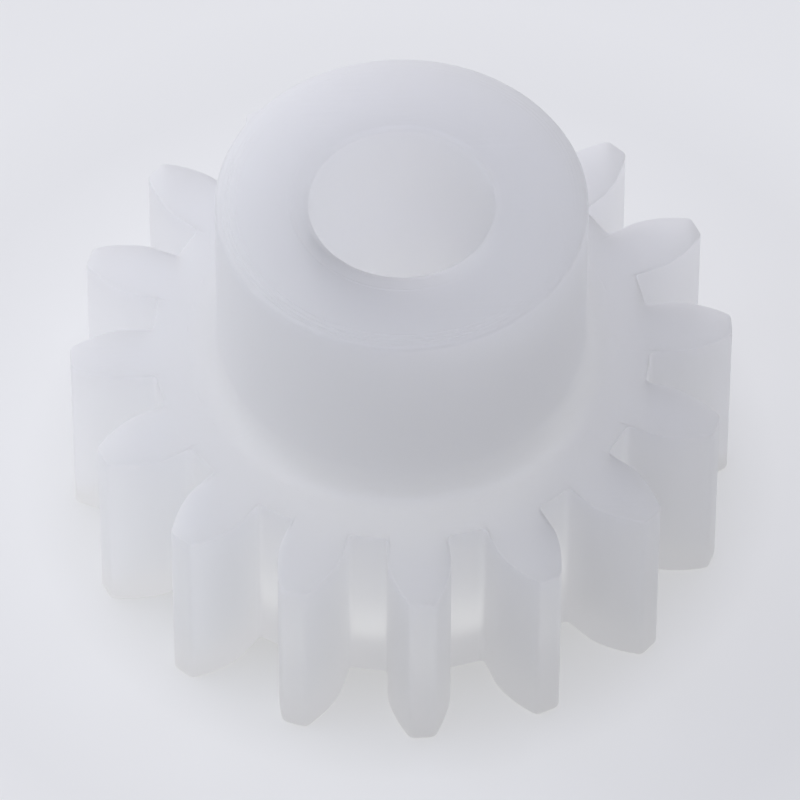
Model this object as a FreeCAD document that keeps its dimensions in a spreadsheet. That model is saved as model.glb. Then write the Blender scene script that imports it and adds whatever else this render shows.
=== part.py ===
import FreeCAD, Part
import math
import os

import Sketcher

# A spur gear moulded in one piece: a toothed rim, a raised hub on one side and a plain bore.
# The bottom face lies on Z = 0, the bore runs along Z, and one tooth is centred on +X.

DIMENSIONS = [
    ("gear_module", 1.0, "pitch diameter in mm for each tooth"),
    ("tooth_count", 16, "number of teeth"),
    ("pressure_angle", 20.0, "degrees"),
    ("addendum_ratio", 1.0, "tooth height above the pitch circle, in modules"),
    ("dedendum_ratio", 1.25, "tooth depth below the pitch circle, in modules"),
    ("root_gap_width", 1.05, "width of the gap at its floor, across the sharp corners"),
    ("root_corner", 0.15, "reach of the rounded corner at the gap's floor"),
    ("tip_corner", 0.13, "reach of the rounded corner at the tooth's tip"),
    ("face_width", 6.0, "length of the teeth along the axis"),
    ("overall_length", 12.0, "bottom face to the hub's end face"),
    ("hub_diameter", 10.0, "outside of the hub"),
    ("hub_fillet", 0.8, "fillet between the hub and the gear's face"),
    ("hub_edge_break", 0.12, "rounding of the hub's outer end edge"),
    ("bore_diameter", 5.0, "plain bore for a shaft"),
    ("bore_chamfer", 0.15, "chamfer at both ends of the bore"),
]

FLANK_POINTS = 9
TIP_OVERSHOOT = 0.01
GAP_OVERRUN = 0.5
EDGE_TOLERANCE = 1e-4


def make_sheet(doc):
    """Write the driving dimensions into a spreadsheet, one alias for each."""
    sheet = doc.addObject("Spreadsheet::Sheet", "dimensions")
    for row, (alias, value, note) in enumerate(DIMENSIONS, start=1):
        sheet.set(f"A{row}", alias)
        sheet.set(f"B{row}", str(value))
        sheet.setAlias(f"B{row}", alias)
        sheet.set(f"C{row}", note)
    doc.recompute()
    return sheet


def involute(angle):
    """Involute function of an angle in radians."""
    return math.tan(angle) - angle


def polar_vector(radius, angle):
    """Sketch point at a radius and an angle."""
    return FreeCAD.Vector(radius * math.cos(angle), radius * math.sin(angle), 0)


def curve_through(points):
    """Smooth curve through the given points."""
    curve = Part.BSplineCurve()
    curve.interpolate(points)
    return curve


def corner_curve(start, corner, end):
    """Rounded corner that leaves and arrives along the lines to the sharp corner."""
    curve = Part.BezierCurve()
    curve.setPoles([start, corner, end])
    return curve.toBSpline()


class ToothGap:
    """Sizes of the gap between two teeth. Angles are measured from the middle of the gap."""

    def __init__(self, sheet):
        module = float(sheet.gear_module)
        self.pressure = math.radians(float(sheet.pressure_angle))
        self.half_pitch = math.pi / int(sheet.tooth_count)
        self.pitch_radius = module * int(sheet.tooth_count) / 2
        self.base_radius = self.pitch_radius * math.cos(self.pressure)
        self.tip_radius = self.pitch_radius + module * float(sheet.addendum_ratio)
        self.root_radius = self.pitch_radius - module * float(sheet.dedendum_ratio)
        self.root_angle = math.asin(float(sheet.root_gap_width) / 2 / self.root_radius)
        self.root_corner = float(sheet.root_corner)
        self.tip_corner = float(sheet.tip_corner)

    def flank_angle(self, radius):
        """Half-angle of the gap at a radius on the involute, from the base circle outwards."""
        local = math.acos(min(1.0, self.base_radius / radius))
        return self.half_pitch / 2 - involute(self.pressure) + involute(local)

    def side(self, sign):
        """Where one side of the gap leaves the floor, and its curves from there outwards.

        The sign picks the side, and the gap's middle is half a tooth pitch away from +X.
        """
        def point(radius, angle):
            return polar_vector(radius, self.half_pitch + sign * angle)

        # A straight, nearly radial stretch joins the floor's corner to the foot of the involute.
        floor_end = point(self.root_radius, self.root_angle - self.root_corner / self.root_radius)
        root_corner = point(self.root_radius, self.root_angle)
        base = point(self.base_radius, self.flank_angle(self.base_radius))
        rise = base - root_corner
        flank_foot = root_corner + rise * (self.root_corner / rise.Length)

        # The tip's rounding ends just outside the tip circle, so that the cut leaves it cleanly.
        outer = self.tip_radius + TIP_OVERSHOOT
        flank_end = outer - self.tip_corner * self.base_radius / outer
        corner = point(outer, self.flank_angle(outer))
        tip_angle = self.flank_angle(outer) + self.tip_corner / outer
        steps = [i / (FLANK_POINTS - 1) for i in range(FLANK_POINTS)]
        radii = [self.base_radius + (flank_end - self.base_radius) * step for step in steps]
        flank = [point(radius, self.flank_angle(radius)) for radius in radii]

        curves = [
            corner_curve(floor_end, root_corner, flank_foot),
            Part.LineSegment(flank_foot, base),
            curve_through(flank),
            corner_curve(flank[-1], corner, point(outer, tip_angle)),
            Part.LineSegment(point(outer, tip_angle), point(outer + GAP_OVERRUN, tip_angle)),
        ]
        return floor_end, curves


def origin_plane(body, role):
    """The body's own origin plane with this role."""
    for feature in body.Origin.OriginFeatures:
        if feature.Role == role:
            return feature
    raise RuntimeError(f"{body.Label} has no {role}")


def base_sketch(body, name):
    """A sketch on the gear's bottom plane."""
    sketch = body.newObject("Sketcher::SketchObject", name)
    sketch.AttachmentSupport = [(origin_plane(body, "XY_Plane"), "")]
    sketch.MapMode = "FlatFace"
    return sketch


def circle_sketch(body, name, radius, expression):
    """A circle about the gear's axis, with its radius bound to the spreadsheet."""
    sketch = base_sketch(body, name)
    middle = FreeCAD.Vector(0, 0, 0)
    circle = sketch.addGeometry(Part.Circle(middle, FreeCAD.Vector(0, 0, 1), radius), False)
    sketch.addConstraint(Sketcher.Constraint("Coincident", circle, 3, -1, 1))
    size = sketch.addConstraint(Sketcher.Constraint("Radius", circle, radius))
    sketch.renameConstraint(size, "radius")
    sketch.setExpression("Constraints.radius", expression)
    return sketch


def add_pad(body, name, sketch, expression):
    """Pad a sketch upwards from the bottom plane."""
    pad = body.newObject("PartDesign::Pad", name)
    pad.Profile = sketch
    pad.setExpression("Length", expression)
    body.Document.recompute()
    return pad


def add_through_pocket(body, name, sketch, base):
    """Cut a sketch through the whole gear and check that it removes material."""
    pocket = body.newObject("PartDesign::Pocket", name)
    pocket.Profile = sketch
    pocket.Type = "ThroughAll"
    pocket.Reversed = True
    body.Document.recompute()
    if pocket.Shape.Volume >= base.Shape.Volume:
        raise RuntimeError(f"{name} cuts nothing")
    return pocket


def circular_edges(feature, radius, heights):
    """Names of the feature's full circular edges of one radius at the given heights."""
    names = []
    for number, edge in enumerate(feature.Shape.Edges, start=1):
        if not isinstance(edge.Curve, Part.Circle) or not edge.isClosed():
            continue
        same_radius = abs(edge.Curve.Radius - radius) < EDGE_TOLERANCE
        height = edge.Curve.Center.z
        if same_radius and any(abs(height - wanted) < EDGE_TOLERANCE for wanted in heights):
            names.append(f"Edge{number}")
    if len(names) != len(heights):
        raise RuntimeError(f"found {len(names)} edges of radius {radius}, wanted {len(heights)}")
    return names


def dress_edges(body, kind, name, base, edges, size_property, expression):
    """Round or chamfer edges of the latest feature."""
    dressing = body.newObject(f"PartDesign::{kind}", name)
    dressing.Base = (base, edges)
    dressing.setExpression(size_property, expression)
    body.Document.recompute()
    if abs(dressing.Shape.Volume - base.Shape.Volume) < EDGE_TOLERANCE:
        raise RuntimeError(f"{name} changes nothing")
    return dressing


def gap_sketch(body, gap):
    """Closed outline of one gap between teeth."""
    sketch = base_sketch(body, "gap_sketch")
    floor_start, right_side = gap.side(-1)
    floor_end, left_side = gap.side(1)
    floor_middle = polar_vector(gap.root_radius, gap.half_pitch)
    floor = Part.Arc(floor_start, floor_middle, floor_end)
    outside = Part.LineSegment(right_side[-1].EndPoint, left_side[-1].EndPoint)
    for number, piece in enumerate(right_side + left_side + [floor, outside]):
        sketch.addGeometry(piece, False)
        sketch.addConstraint(Sketcher.Constraint("Block", number))
    return sketch


def build_gear(doc, sheet):
    """The gear as one body: rim, hub, bore, dressed edges, then the gaps between the teeth."""
    gap = ToothGap(sheet)
    hub_radius = float(sheet.hub_diameter) / 2
    bore_radius = float(sheet.bore_diameter) / 2
    face_width = float(sheet.face_width)
    length = float(sheet.overall_length)

    body = doc.addObject("PartDesign::Body", "spur_gear")
    body.Label = "spur_gear"

    tip_size = "dimensions.gear_module * (dimensions.tooth_count / 2 + dimensions.addendum_ratio)"
    rim = circle_sketch(body, "rim_sketch", gap.tip_radius, tip_size)
    add_pad(body, "rim", rim, "dimensions.face_width")
    hub_outline = circle_sketch(body, "hub_sketch", hub_radius, "dimensions.hub_diameter / 2")
    hub = add_pad(body, "hub", hub_outline, "dimensions.overall_length")
    bore_outline = circle_sketch(body, "bore_sketch", bore_radius, "dimensions.bore_diameter / 2")
    bore = add_through_pocket(body, "bore", bore_outline, hub)

    corner = circular_edges(bore, hub_radius, [face_width])
    fillet = dress_edges(body, "Fillet", "hub_fillet", bore, corner, "Radius",
                         "dimensions.hub_fillet")
    end_edge = circular_edges(fillet, hub_radius, [length])
    rounded = dress_edges(body, "Fillet", "hub_edge_break", fillet, end_edge, "Radius",
                          "dimensions.hub_edge_break")
    bore_ends = circular_edges(rounded, bore_radius, [0, length])
    chamfered = dress_edges(body, "Chamfer", "bore_chamfers", rounded, bore_ends, "Size",
                            "dimensions.bore_chamfer")

    outline = gap_sketch(body, gap)
    first_gap = add_through_pocket(body, "tooth_gap", outline, chamfered)
    gaps = body.newObject("PartDesign::PolarPattern", "tooth_gaps")
    gaps.Originals = [first_gap]
    gaps.Axis = (outline, ["N_Axis"])
    gaps.Angle = 360
    gaps.setExpression("Occurrences", "dimensions.tooth_count")
    body.Tip = gaps
    doc.recompute()
    one_gap = chamfered.Shape.Volume - first_gap.Shape.Volume
    all_gaps = chamfered.Shape.Volume - body.Shape.Volume
    if abs(all_gaps - int(sheet.tooth_count) * one_gap) > EDGE_TOLERANCE * all_gaps:
        raise RuntimeError("the tooth gaps aren't all cut")
    return body


def check_document(doc, bodies):
    """Stop if any object failed to build or any body isn't one valid solid."""
    for item in doc.Objects:
        if "Invalid" in item.State or "Error" in item.State:
            raise RuntimeError(f"{item.Label} failed: {item.State}")
    for body in bodies:
        if body.Shape.isNull() or not body.Shape.isValid() or len(body.Shape.Solids) != 1:
            raise RuntimeError(f"{body.Label} isn't one valid solid")


def main():
    doc = FreeCAD.newDocument("spur_gear")
    sheet = make_sheet(doc)
    bodies = [build_gear(doc, sheet)]
    check_document(doc, bodies)
    os.makedirs("parts", exist_ok=True)
    for body in bodies:
        body.Shape.exportStep(f"parts/{body.Label}.step")


main()
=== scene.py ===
import math

import bpy
from mathutils import Matrix, Vector, noise


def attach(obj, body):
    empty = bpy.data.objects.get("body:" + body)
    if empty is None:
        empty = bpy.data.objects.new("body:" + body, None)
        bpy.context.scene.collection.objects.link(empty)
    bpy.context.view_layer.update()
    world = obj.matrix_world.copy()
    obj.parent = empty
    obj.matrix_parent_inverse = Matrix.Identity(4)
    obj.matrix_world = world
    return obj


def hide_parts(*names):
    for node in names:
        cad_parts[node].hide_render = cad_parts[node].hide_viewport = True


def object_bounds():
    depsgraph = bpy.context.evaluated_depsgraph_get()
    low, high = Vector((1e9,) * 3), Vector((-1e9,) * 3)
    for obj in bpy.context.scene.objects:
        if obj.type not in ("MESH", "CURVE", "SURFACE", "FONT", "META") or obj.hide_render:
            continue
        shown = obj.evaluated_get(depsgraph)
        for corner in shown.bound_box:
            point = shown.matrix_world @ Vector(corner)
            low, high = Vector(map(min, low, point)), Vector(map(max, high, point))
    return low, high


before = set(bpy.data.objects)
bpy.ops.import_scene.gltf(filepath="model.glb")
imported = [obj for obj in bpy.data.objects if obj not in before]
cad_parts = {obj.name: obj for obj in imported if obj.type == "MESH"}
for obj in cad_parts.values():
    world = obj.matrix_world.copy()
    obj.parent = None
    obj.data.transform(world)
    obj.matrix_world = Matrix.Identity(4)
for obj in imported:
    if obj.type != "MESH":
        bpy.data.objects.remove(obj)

# A spur gear in natural white plastic. The CAD node gives its size and place, and a finer mesh with
# rounded edges, turning marks and small burrs stands for it.

CAD_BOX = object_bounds()
MM = 0.001

# Sizes shared with the CAD part, in millimetres.
TOOTH_COUNT = 16
MODULE = 1.0
PRESSURE_ANGLE = math.radians(20)
ADDENDUM = 1.0 * MODULE
DEDENDUM = 1.25 * MODULE
ROOT_GAP_WIDTH = 1.05
ROOT_CORNER_REACH = 0.15
FACE_WIDTH = 6.0
OVERALL_LENGTH = 12.0
HUB_RADIUS = 5.0
HUB_FILLET = 0.8
BORE_RADIUS = 2.5

# Small roundings that only the visual mesh has.
TIP_CORNER_REACH = 0.13
TOOTH_EDGE_ROUND = 0.04
HUB_EDGE_ROUND = 0.10
BORE_LIP_WIDTH = 0.17
BORE_LIP_DEPTH = 0.07
HOLDING_GAP = 0.012
FACE_RING_RADIUS = 6.4
HUB_RING_RISE = 0.5
BORE_LIP_POWER = 1.6
BORE_LIP_WOBBLE = 0.012

# How many points or rings each stretch of a profile gets.
FLOOR_STEPS = 5
CORNER_STEPS = 5
FOOT_STEPS = 3
FLANK_STEPS = 11
LAND_STEPS = 3
EDGE_STEPS = 4
FILLET_STEPS = 12
HUB_EDGE_STEPS = 5
LIP_STEPS = 5

# Turned ridges on the hub's end face: radius, height, half-width, and how far the ring sits off centre.
END_FACE_RIDGES = [
    (3.02, 0.014, 0.035, (0.03, 0.04)),
    (4.52, 0.018, 0.024, (0.05, 0.02)),
    (4.64, 0.026, 0.024, (0.02, 0.02)),
    (4.74, 0.028, 0.022, (0.02, 0.00)),
    (4.83, 0.022, 0.020, (0.01, 0.00)),
]

# The ridges are tallest towards this side and almost gone opposite it.
RIDGE_SIDE = Vector((-0.75, -0.66))
RIDGE_LEAST = 0.12

# Cross-sections of a ridge and of the fillet's burr: place across in half-widths, share of the height.
RIDGE_PROFILE = ((1.2, 0), (1, 0), (0.5, 0.75), (0, 1), (-0.5, 0.75), (-1, 0), (-1.2, 0))
FILLET_BURR_PROFILE = ((2, 0), (1.5, 0.75), (1, 1), (0.5, 0.75), (0, 0))

# Burrs left by cutting: along the upper edge of the gaps between teeth, and where the fillet starts.
EDGE_BURR = 0.035
FILLET_BURR = 0.020
FILLET_BURR_WIDTH = 0.035
FILLET_BURR_GUARD = 2.2
FILLET_BURR_BIAS = 0.15
BURR_LEAN = 0.4

# Patterns of unevenness: waves in a millimetre, and a height that picks the pattern.
EDGE_BURR_PATTERN = (2.1, 5.0)
LIP_PATTERN = (2.4, 7.0)
FILLET_BURR_PATTERN = (3.1, 3.0)

# The plastic. Its two tints are close, because light goes through it many times and a small step shows.
PLASTIC_TINTS = ((0.3, (0.988, 0.988, 0.989, 1)), (0.7, (0.991, 0.991, 0.992, 1)))
PLASTIC_ROUGHNESS = 0.42
PLASTIC_IOR = 1.48
SCATTER_SCALE = 30.0 * MM
MOTTLE_SCALE = 350
GRAIN_SCALE = 9000
GRAIN_STRENGTH = 0.25
GRAIN_DEPTH = 0.004 * MM

# Scratches run this way over the plastic, close together across it and long along it, in patches.
SCRATCH_DIRECTION = math.radians(64)
SCRATCH_SCALE = (500, 9000, 2000)
SCRATCH_STRENGTH = 0.6
SCRATCH_DEPTH = 0.02 * MM
PATCH_SCALE = 420
PATCH_RANGE = (0.5, 0.7)

# The floor glows like a light table, with painted light and shade in rings about the gear: a brighter
# painted pool under the hub and bore, and painted shade in a ring under and around the teeth: (distance from
# the gear's axis in mm, brightness).
FLOOR_GLOW_WITH_PAINTED_LIGHT_AND_SHADE = [(0, 0.60), (4, 0.60), (5.2, 0.28), (8.4, 0.35), (10.4, 0.41), (14, 0.385), (17, 0.42)]
FLOOR_TINT = (0.985, 0.990, 0.985)
FLOOR_ALBEDO = 0.5
FLOOR_HALF_SIDE = 0.6

# A card in the shape of the gear lies between the floor and the teeth: a sheet of painted shade that keeps
# the floor's glow out of the teeth from below, with a glow of its own that sets how bright their lower ends
# look.
PAINTED_SHADE_CARD_GLOW = 0.385
PAINTED_SHADE_CARD_TINT = (0.955, 0.955, 1.0)
CARD_HOLE_RADIUS = 4.5
CARD_INSET = 0.05
CARD_DROP = 0.005

# Painted shadow of the gear: floor and card are darker towards the right-hand front, where the gear's soft
# shadow falls: where the fade starts and ends, and its amount.
PAINTED_SHADOW_DIRECTION = (0.8, -0.6, 0)
FLOOR_PAINTED_SHADOW = (4 * MM, 25 * MM, 0.20)
CARD_PAINTED_SHADOW = (-7 * MM, 7 * MM, 0.35)

# Softboxes: name, azimuth, elevation, distance and side in metres, radiance, colour.
SOFTBOXES = [
    ("left", -95, 30, 0.35, 0.25, 1.08, (0.75, 0.85, 1.0)),
    ("back_left", -135, 35, 0.35, 0.30, 0.76, (1.0, 0.96, 0.99)),
    ("top", 180, 85, 0.40, 0.30, 2.2, (0.71, 0.73, 1.0)),
    ("front_left", -50, 30, 0.35, 0.25, 0.2, (1.0, 1.0, 1.0)),
    ("back_right", 140, 65, 0.35, 0.25, 0.12, (0.80, 0.88, 1.0)),
    ("back_low", 180, 10, 0.40, 0.20, 1.35, (0.82, 0.82, 1.0)),
]
SURROUND_STRENGTH = 0.15
VIEW_GAMMA = 1.3

# The camera looks at this point (in mm) from this azimuth, elevation, distance (in mm) and roll.
CAMERA_TARGET = (-0.17, -2.03, 6.0)
CAMERA_AZIMUTH = -3.8
CAMERA_ELEVATION = 52.4
CAMERA_DISTANCE = 296.2
CAMERA_ROLL = 0.13
CAMERA_LENS = 493
SENSOR_WIDTH = 36


def involute(angle):
    """Involute function of an angle in radians."""
    return math.tan(angle) - angle


def flank_angle(radius):
    """Half-angle of the gap between two teeth at a radius on the involute flank."""
    base_radius = MODULE * TOOTH_COUNT / 2 * math.cos(PRESSURE_ANGLE)
    local = math.acos(min(1.0, base_radius / radius))
    return math.pi / TOOTH_COUNT / 2 - involute(PRESSURE_ANGLE) + involute(local)


def polar(radius, angle):
    """A point in the gear's plane."""
    return Vector((radius * math.cos(angle), radius * math.sin(angle)))


def straight(start, end, steps):
    """Points after the start, up to the end."""
    return [start.lerp(end, step / steps) for step in range(1, steps + 1)]


def arc(radius, start, end, steps):
    """Points after the start angle, up to the end angle, on a circle about the gear's axis."""
    return [polar(radius, start + (end - start) * step / steps) for step in range(1, steps + 1)]


def corner_curve(start, corner, end, steps):
    """Points after the start of a curve that rounds off a corner."""
    points = []
    for step in range(1, steps + 1):
        t = step / steps
        points.append(start * (1 - t) ** 2 + corner * 2 * t * (1 - t) + end * t ** 2)
    return points


def half_gap():
    """Outline from the middle of a gap's floor to the middle of the next tooth's tip."""
    pitch_radius = MODULE * TOOTH_COUNT / 2
    root_radius = pitch_radius - DEDENDUM
    base_radius = pitch_radius * math.cos(PRESSURE_ANGLE)
    tip_radius = pitch_radius + ADDENDUM

    # Floor of the gap and its rounded corner.
    root_angle = math.asin(ROOT_GAP_WIDTH / 2 / root_radius)
    floor_angle = root_angle - ROOT_CORNER_REACH / root_radius
    root_corner = polar(root_radius, root_angle)
    base = polar(base_radius, flank_angle(base_radius))
    foot = root_corner + (base - root_corner).normalized() * ROOT_CORNER_REACH
    points = [polar(root_radius, 0)] + arc(root_radius, 0, floor_angle, FLOOR_STEPS)
    points += corner_curve(points[-1], root_corner, foot, CORNER_STEPS)
    points += straight(foot, base, FOOT_STEPS)

    # Involute flank, rounded tip corner and the tooth's land.
    flank_end = tip_radius - TIP_CORNER_REACH * base_radius / tip_radius
    for step in range(1, FLANK_STEPS + 1):
        radius = base_radius + (flank_end - base_radius) * step / FLANK_STEPS
        points.append(polar(radius, flank_angle(radius)))
    corner = polar(tip_radius, flank_angle(tip_radius))
    land_start = flank_angle(tip_radius) + TIP_CORNER_REACH / tip_radius
    points += corner_curve(points[-1], corner, polar(tip_radius, land_start), CORNER_STEPS)
    points += arc(tip_radius, land_start, math.pi / TOOTH_COUNT, LAND_STEPS)
    return points


def gear_outline():
    """Closed outline of all the teeth, counter-clockwise, with a tooth centred on +X."""
    rising = half_gap()
    outline = []
    for tooth in range(TOOTH_COUNT):
        gap_middle = (tooth - 0.5) * 2 * math.pi / TOOTH_COUNT
        next_middle = gap_middle + 2 * math.pi / TOOTH_COUNT
        turn = Matrix.Rotation(gap_middle, 2)
        turn_back = Matrix.Rotation(next_middle, 2)
        outline += [turn @ point for point in rising]
        falling = [turn_back @ Vector((point.x, -point.y)) for point in reversed(rising)]
        outline += falling[1:-1]
    return outline


def outline_normals(outline):
    """Outward unit normals of a closed counter-clockwise outline."""
    normals = []
    count = len(outline)
    for index in range(count):
        along = outline[(index + 1) % count] - outline[index - 1]
        normals.append(Vector((along.y, -along.x)).normalized())
    return normals


def unevenness(place, pattern):
    """Smooth noise between -1 and 1 at a place in the gear's plane."""
    waves, height = pattern
    return noise.noise(Vector((place.x * waves, place.y * waves, height)))


def burr_share(point):
    """How much of the burr stands at a point of the outline: most along the floor of each gap."""
    low = MODULE * TOOTH_COUNT / 2 - DEDENDUM
    high = MODULE * TOOTH_COUNT / 2 + ADDENDUM
    height = (point.length - low) / (high - low)
    uneven = 0.75 + 0.5 * unevenness(point, EDGE_BURR_PATTERN)
    return uneven * (1.0 - 0.75 * min(1.0, height / 0.35)) * max(0.0, 1.0 - height ** 4)


class RingMesh:
    """A closed surface made of rings of equal length, each joined to the one before it."""

    def __init__(self, outline):
        self.outline = outline
        self.normals = outline_normals(outline)
        self.directions = [point.normalized() for point in outline]
        first = math.atan2(outline[0].y, outline[0].x)
        turn = 2 * math.pi / len(outline)
        self.even_directions = [polar(1, first + turn * index) for index in range(len(outline))]
        self.rings = []

    def add_outline(self, inset, height, burr=0.0):
        """The tooth outline moved inwards by an inset, with an optional burr on its edge."""
        ring = []
        for point, normal in zip(self.outline, self.normals):
            place = point - normal * inset
            lift = burr * burr_share(point) if burr else 0.0
            place = place + normal * lift * BURR_LEAN
            ring.append(Vector((place.x, place.y, height + lift)))
        self.rings.append(ring)

    def add_circle(self, radius, height, centre=(0, 0), wobble=0.0, burr=0.0, even=True, ridge=0.0):
        """A circle, with an optional centre of its own, an irregular edge, a ridge or a broken burr.

        Its points are evenly spaced, or in line with those of the tooth outline.
        """
        ring = []
        for direction in self.even_directions if even else self.directions:
            place = direction * radius + Vector(centre)
            lift = ridge * max(RIDGE_LEAST, direction.dot(RIDGE_SIDE))
            if wobble:
                lift += wobble * unevenness(place, LIP_PATTERN)
            if burr:
                lift += burr * max(0.0, unevenness(place, FILLET_BURR_PATTERN) + FILLET_BURR_BIAS)
            ring.append(Vector((place.x, place.y, height + lift)))
        self.rings.append(ring)

    def add_arc(self, centre_radius, centre_height, radius, start, end, steps, wobble=0.0):
        """Circles along an arc of the lathe profile, from one angle to another."""
        for step in range(steps + 1):
            angle = start + (end - start) * step / steps
            self.add_circle(centre_radius + radius * math.cos(angle),
                            centre_height + radius * math.sin(angle), wobble=wobble)

    def build(self, name):
        """The mesh object, in metres, with the last ring joined to the first."""
        count = len(self.outline)
        vertices = [point * MM for ring in self.rings for point in ring]
        faces = []
        for level in range(len(self.rings)):
            this = level * count
            above = (level + 1) % len(self.rings) * count
            for index in range(count):
                nxt = (index + 1) % count
                faces.append((this + index, this + nxt, above + nxt, above + index))
        mesh = bpy.data.meshes.new(name)
        mesh.from_pydata(vertices, [], faces)
        mesh.shade_smooth()
        mesh.update()
        piece = bpy.data.objects.new(name, mesh)
        bpy.context.scene.collection.objects.link(piece)
        return piece


def make_gear():
    """The gear's surface, ring by ring: underside, teeth, face, fillet, hub, end face and bore."""
    surface = RingMesh(gear_outline())
    quarter = math.pi / 2

    # Underside, from the bore outwards.
    surface.add_arc(BORE_RADIUS + BORE_LIP_DEPTH, BORE_LIP_DEPTH, BORE_LIP_DEPTH,
                    math.pi, 1.5 * math.pi, EDGE_STEPS)
    surface.add_circle(BORE_RADIUS + BORE_LIP_DEPTH + HOLDING_GAP, 0)
    surface.add_circle(FACE_RING_RADIUS, 0, even=False)
    surface.add_outline(TOOTH_EDGE_ROUND + HOLDING_GAP, 0)
    for step in range(EDGE_STEPS + 1):
        angle = quarter * (1 - step / EDGE_STEPS)
        surface.add_outline(TOOTH_EDGE_ROUND * (1 - math.cos(angle)),
                            TOOTH_EDGE_ROUND * (1 - math.sin(angle)))
    surface.add_outline(0, TOOTH_EDGE_ROUND + HOLDING_GAP)

    # Tooth flanks, then the upper edge with its burr.
    top = FACE_WIDTH
    for share in (0.25, 0.5, 0.75):
        surface.add_outline(0, FACE_WIDTH * share)
    surface.add_outline(0, top - TOOTH_EDGE_ROUND - HOLDING_GAP)
    for step in range(EDGE_STEPS + 1):
        angle = quarter * step / EDGE_STEPS
        surface.add_outline(TOOTH_EDGE_ROUND * (1 - math.cos(angle)),
                            top - TOOTH_EDGE_ROUND * (1 - math.sin(angle)),
                            burr=EDGE_BURR * math.sin(2 * angle))
    surface.add_outline(TOOTH_EDGE_ROUND + HOLDING_GAP, top)

    # Gear face, hub fillet and hub wall.
    surface.add_circle(FACE_RING_RADIUS, top, even=False)
    fillet_radius = HUB_RADIUS + HUB_FILLET
    surface.add_circle(fillet_radius + FILLET_BURR_GUARD * FILLET_BURR_WIDTH, top)
    for across, share in FILLET_BURR_PROFILE:
        surface.add_circle(fillet_radius + across * FILLET_BURR_WIDTH, top,
                           burr=FILLET_BURR * share)
    surface.add_arc(fillet_radius, top + HUB_FILLET, HUB_FILLET, 1.5 * math.pi, math.pi, FILLET_STEPS)
    length = OVERALL_LENGTH
    surface.add_circle(HUB_RADIUS, top + HUB_FILLET + HUB_RING_RISE)
    surface.add_circle(HUB_RADIUS, length - HUB_EDGE_ROUND - HOLDING_GAP)
    surface.add_arc(HUB_RADIUS - HUB_EDGE_ROUND, length - HUB_EDGE_ROUND, HUB_EDGE_ROUND,
                    0, quarter, HUB_EDGE_STEPS)

    # End face with its turned ridges, from the outside in.
    for radius, height, half_width, centre in reversed(END_FACE_RIDGES):
        for across, share in RIDGE_PROFILE:
            surface.add_circle(radius + across * half_width, length, centre, ridge=height * share)

    # Bore lip and bore wall.
    lip = BORE_RADIUS + BORE_LIP_WIDTH
    surface.add_circle(lip + HOLDING_GAP, length)
    for step in range(LIP_STEPS + 1):
        share = step / LIP_STEPS
        surface.add_circle(lip - BORE_LIP_WIDTH * share,
                           length - BORE_LIP_DEPTH * share ** BORE_LIP_POWER, wobble=BORE_LIP_WOBBLE * share)
    surface.add_circle(BORE_RADIUS, length - BORE_LIP_DEPTH - HOLDING_GAP)
    surface.add_circle(BORE_RADIUS, length / 2)
    return surface.build("gear_body")


def noise_texture(nodes, links, vector, scale, detail):
    """The output of a noise texture over a vector."""
    texture = nodes.new("ShaderNodeTexNoise")
    texture.inputs["Scale"].default_value = scale
    texture.inputs["Detail"].default_value = detail
    links.new(vector, texture.inputs["Vector"])
    return texture.outputs["Fac"]


def bump(nodes, links, height, strength, depth, under=None):
    """The normal of a bump, laid over another one if there is one under it."""
    raised = nodes.new("ShaderNodeBump")
    raised.inputs["Strength"].default_value = strength
    raised.inputs["Distance"].default_value = depth
    links.new(height, raised.inputs["Height"])
    if under:
        links.new(under, raised.inputs["Normal"])
    return raised.outputs["Normal"]


def product(nodes, links, first, second):
    """The product of two outputs."""
    multiply = nodes.new("ShaderNodeMath")
    multiply.operation = "MULTIPLY"
    links.new(first, multiply.inputs[0])
    links.new(second, multiply.inputs[1])
    return multiply.outputs["Value"]


def plastic_material():
    """Natural white plastic that lets light through, with fine machining marks."""
    material = bpy.data.materials.new("natural_plastic_look")
    material.use_nodes = True
    nodes = material.node_tree.nodes
    links = material.node_tree.links
    shader = nodes["Principled BSDF"]
    place = nodes.new("ShaderNodeTexCoord").outputs["Object"]

    tint = nodes.new("ShaderNodeValToRGB")
    for stop, (position, colour) in zip(tint.color_ramp.elements, PLASTIC_TINTS):
        stop.position = position
        stop.color = colour
    links.new(noise_texture(nodes, links, place, MOTTLE_SCALE, 3), tint.inputs["Fac"])
    links.new(tint.outputs["Color"], shader.inputs["Base Color"])

    grain = noise_texture(nodes, links, place, GRAIN_SCALE, 4)
    grain_normal = bump(nodes, links, grain, GRAIN_STRENGTH, GRAIN_DEPTH)

    turned = nodes.new("ShaderNodeMapping")
    turned.inputs["Rotation"].default_value = (0, 0, SCRATCH_DIRECTION)
    turned.inputs["Scale"].default_value = SCRATCH_SCALE
    links.new(place, turned.inputs["Vector"])
    lines = noise_texture(nodes, links, turned.outputs["Vector"], 1.0, 2)
    chosen = nodes.new("ShaderNodeMapRange")
    chosen.inputs["From Min"].default_value, chosen.inputs["From Max"].default_value = PATCH_RANGE
    links.new(noise_texture(nodes, links, place, PATCH_SCALE, 1), chosen.inputs["Value"])
    scratches = product(nodes, links, lines, chosen.outputs["Result"])
    scored_normal = bump(nodes, links, scratches, SCRATCH_STRENGTH, SCRATCH_DEPTH, under=grain_normal)
    links.new(scored_normal, shader.inputs["Normal"])

    shader.inputs["Roughness"].default_value = PLASTIC_ROUGHNESS
    shader.inputs["IOR"].default_value = PLASTIC_IOR
    shader.inputs["Subsurface Weight"].default_value = 1.0
    shader.inputs["Subsurface Radius"].default_value = (1.0, 1.0, 1.0)
    shader.inputs["Subsurface Scale"].default_value = SCATTER_SCALE
    return material


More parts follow.
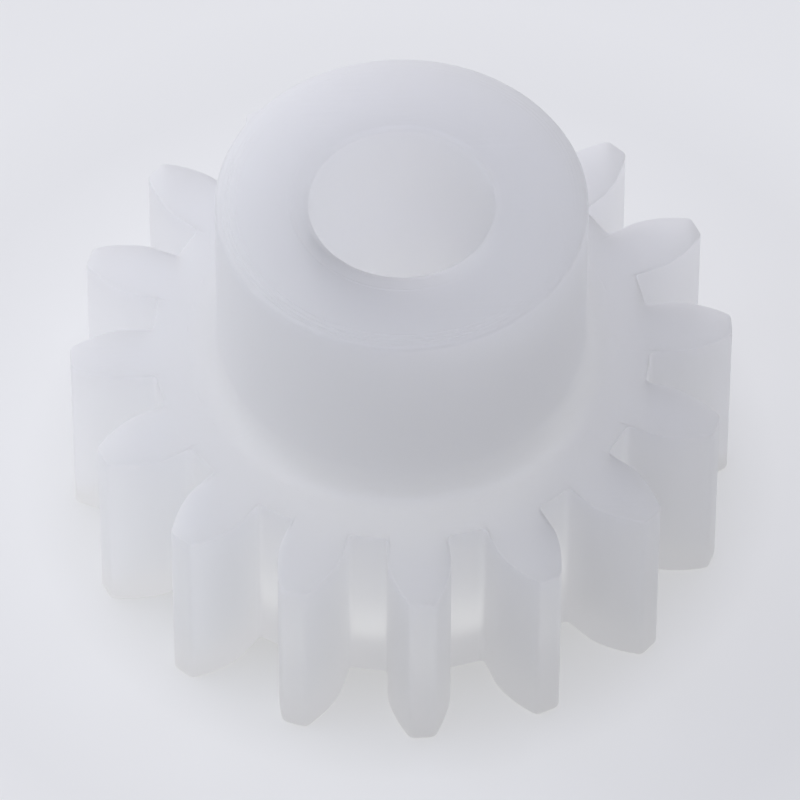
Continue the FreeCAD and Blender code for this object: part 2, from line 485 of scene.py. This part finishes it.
def matte_glow(name, tint):
    """A matte material with some glow of its own, and its nodes, links and shader."""
    material = bpy.data.materials.new(name)
    material.use_nodes = True
    nodes = material.node_tree.nodes
    shader = nodes["Principled BSDF"]
    shader.inputs["Base Color"].default_value = (FLOOR_ALBEDO, FLOOR_ALBEDO, FLOOR_ALBEDO, 1)
    shader.inputs["Roughness"].default_value = 1.0
    shader.inputs["Specular IOR Level"].default_value = 0.0
    shader.inputs["Emission Color"].default_value = (*tint, 1)
    return material, nodes, material.node_tree.links, shader


def painted_shadow_fade(nodes, links, place, painted_shadow_range):
    """A factor of painted shadow that falls from 1 towards one side, between two distances from the gear's
    axis.
    """
    start, end, amount = painted_shadow_range
    along = nodes.new("ShaderNodeVectorMath")
    along.operation = "DOT_PRODUCT"
    along.inputs[1].default_value = PAINTED_SHADOW_DIRECTION
    links.new(place, along.inputs[0])
    fade = nodes.new("ShaderNodeMapRange")
    fade.interpolation_type = "SMOOTHSTEP"
    fade.inputs["From Min"].default_value = start
    fade.inputs["From Max"].default_value = end
    fade.inputs["To Min"].default_value = 1.0
    fade.inputs["To Max"].default_value = 1.0 - amount
    links.new(along.outputs["Value"], fade.inputs["Value"])
    return fade.outputs["Result"]


def painted_light_and_shade_floor_material():
    """Pale glowing floor with painted light and shade in rings about the gear: a brighter painted pool under
    the hub and bore, painted shade under and around the teeth, and a painted shadow faded to one side.
    """
    material, nodes, links, shader = matte_glow("floor_painted_light_and_shade_look", FLOOR_TINT)
    place = nodes.new("ShaderNodeTexCoord").outputs["Object"]
    distance = nodes.new("ShaderNodeVectorMath")
    distance.operation = "LENGTH"
    links.new(place, distance.inputs[0])
    share = nodes.new("ShaderNodeMapRange")
    share.inputs["From Max"].default_value = FLOOR_GLOW_WITH_PAINTED_LIGHT_AND_SHADE[-1][0] * MM
    links.new(distance.outputs["Value"], share.inputs["Value"])
    # painted light and shade: a brighter pool under the hub and bore, a darker ring under and around the
    # teeth
    rings = nodes.new("ShaderNodeValToRGB")
    stops = rings.color_ramp.elements
    for stop, (_, glow) in zip(stops, (FLOOR_GLOW_WITH_PAINTED_LIGHT_AND_SHADE[0], FLOOR_GLOW_WITH_PAINTED_LIGHT_AND_SHADE[-1])):
        stop.color = (glow, glow, glow, 1)
    for radius, glow in FLOOR_GLOW_WITH_PAINTED_LIGHT_AND_SHADE[1:-1]:
        stops.new(radius / FLOOR_GLOW_WITH_PAINTED_LIGHT_AND_SHADE[-1][0]).color = (glow, glow, glow, 1)
    links.new(share.outputs["Result"], rings.inputs["Fac"])
    # painted shadow of the gear, darker towards the right-hand front
    fade = painted_shadow_fade(nodes, links, place, FLOOR_PAINTED_SHADOW)
    strength = product(nodes, links, rings.outputs["Color"], fade)
    links.new(strength, shader.inputs["Emission Strength"])
    return material


def painted_shade_card_material():
    """The card's glow, painted shade under the teeth, faded to the same side as the floor's painted shadow.
    """
    material, nodes, links, shader = matte_glow("painted_shade_card_look", PAINTED_SHADE_CARD_TINT)
    place = nodes.new("ShaderNodeTexCoord").outputs["Object"]
    strength = nodes.new("ShaderNodeMath")
    strength.operation = "MULTIPLY"
    strength.inputs[0].default_value = PAINTED_SHADE_CARD_GLOW
    # painted shadow on the card, darker towards the right-hand front
    links.new(painted_shadow_fade(nodes, links, place, CARD_PAINTED_SHADOW), strength.inputs[1])
    links.new(strength.outputs["Value"], shader.inputs["Emission Strength"])
    return material


def stage_piece(name, vertices, faces, material, height):
    """A flat piece of the stage."""
    mesh = bpy.data.meshes.new(name)
    mesh.from_pydata(vertices, [], faces)
    mesh.materials.append(material)
    piece = bpy.data.objects.new(name, mesh)
    piece.location.z = height
    bpy.context.scene.collection.objects.link(piece)


def make_floor():
    """A wide floor with painted light and shade, and the card of painted shade between it and the teeth."""
    half = FLOOR_HALF_SIDE
    corners = [(-half, -half, 0), (half, -half, 0), (half, half, 0), (-half, half, 0)]
    ground = CAD_BOX[0].z
    # the floor carries painted light and shade in rings about the gear, and a painted shadow to one side
    stage_piece("floor_with_painted_light_and_shade", corners, [(0, 1, 2, 3)], painted_light_and_shade_floor_material(), ground - 2 * CARD_DROP * MM)

    outline = gear_outline()
    count = len(outline)
    outer = [point - normal * CARD_INSET for point, normal in zip(outline, outline_normals(outline))]
    inner = [point.normalized() * CARD_HOLE_RADIUS for point in outline]
    vertices = [(point.x * MM, point.y * MM, 0) for point in inner + outer]
    faces = []
    for index in range(count):
        nxt = (index + 1) % count
        faces.append((index, nxt, count + nxt, count + index))
    # sheet of painted shade under the teeth, in place of the floor's glow there
    stage_piece("painted_shade_card", vertices, faces, painted_shade_card_material(), ground - CARD_DROP * MM)


def look_from(target, azimuth, elevation, distance):
    """Place and rotation of something that looks at a target. Azimuth 0 looks along +Y."""
    turn, lift = math.radians(azimuth), math.radians(elevation)
    back = Vector((math.sin(turn) * math.cos(lift), -math.cos(turn) * math.cos(lift), math.sin(lift)))
    return target + back * distance, (-back).to_track_quat("-Z", "Y")


def add_softbox(name, azimuth, elevation, distance, size, radiance, colour):
    """A square softbox that points at the gear."""
    light = bpy.data.lights.new(name, "AREA")
    light.shape = "SQUARE"
    light.size = size
    light.energy = radiance * math.pi * size * size
    light.color = colour
    lamp = bpy.data.objects.new(name, light)
    middle = (CAD_BOX[0] + CAD_BOX[1]) / 2
    lamp.rotation_mode = "QUATERNION"
    lamp.location, lamp.rotation_quaternion = look_from(middle, azimuth, elevation, distance)
    bpy.context.scene.collection.objects.link(lamp)


def add_studio():
    """Dim surroundings and soft lights from the left, the back and above."""
    world = bpy.data.worlds.new("studio")
    world.use_nodes = True
    backdrop = world.node_tree.nodes["Background"]
    backdrop.inputs["Color"].default_value = (1.0, 1.0, 1.0, 1)
    backdrop.inputs["Strength"].default_value = SURROUND_STRENGTH
    bpy.context.scene.world = world
    for softbox in SOFTBOXES:
        add_softbox(*softbox)


def add_camera():
    """A long lens on the gear, from above its front."""
    camera = bpy.data.cameras.new("camera")
    camera.sensor_width = SENSOR_WIDTH
    camera.lens = CAMERA_LENS
    camera.clip_start = 0.01
    camera.clip_end = 10
    viewer = bpy.data.objects.new("camera", camera)
    viewer.rotation_mode = "QUATERNION"
    target = Vector(CAMERA_TARGET) * MM
    place, turn = look_from(target, CAMERA_AZIMUTH, CAMERA_ELEVATION, CAMERA_DISTANCE * MM)
    roll = Matrix.Rotation(math.radians(CAMERA_ROLL), 4, "Z").to_quaternion()
    viewer.location = place
    viewer.rotation_quaternion = turn @ roll
    bpy.context.scene.collection.objects.link(viewer)
    bpy.context.scene.camera = viewer


def main():
    gear = make_gear()
    gear.data.materials.append(plastic_material())
    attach(gear, "root")
    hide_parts("spur_gear")
    make_floor()
    add_studio()
    add_camera()
    bpy.context.scene.view_settings.view_transform = "Standard"
    bpy.context.scene.view_settings.gamma = VIEW_GAMMA


main()
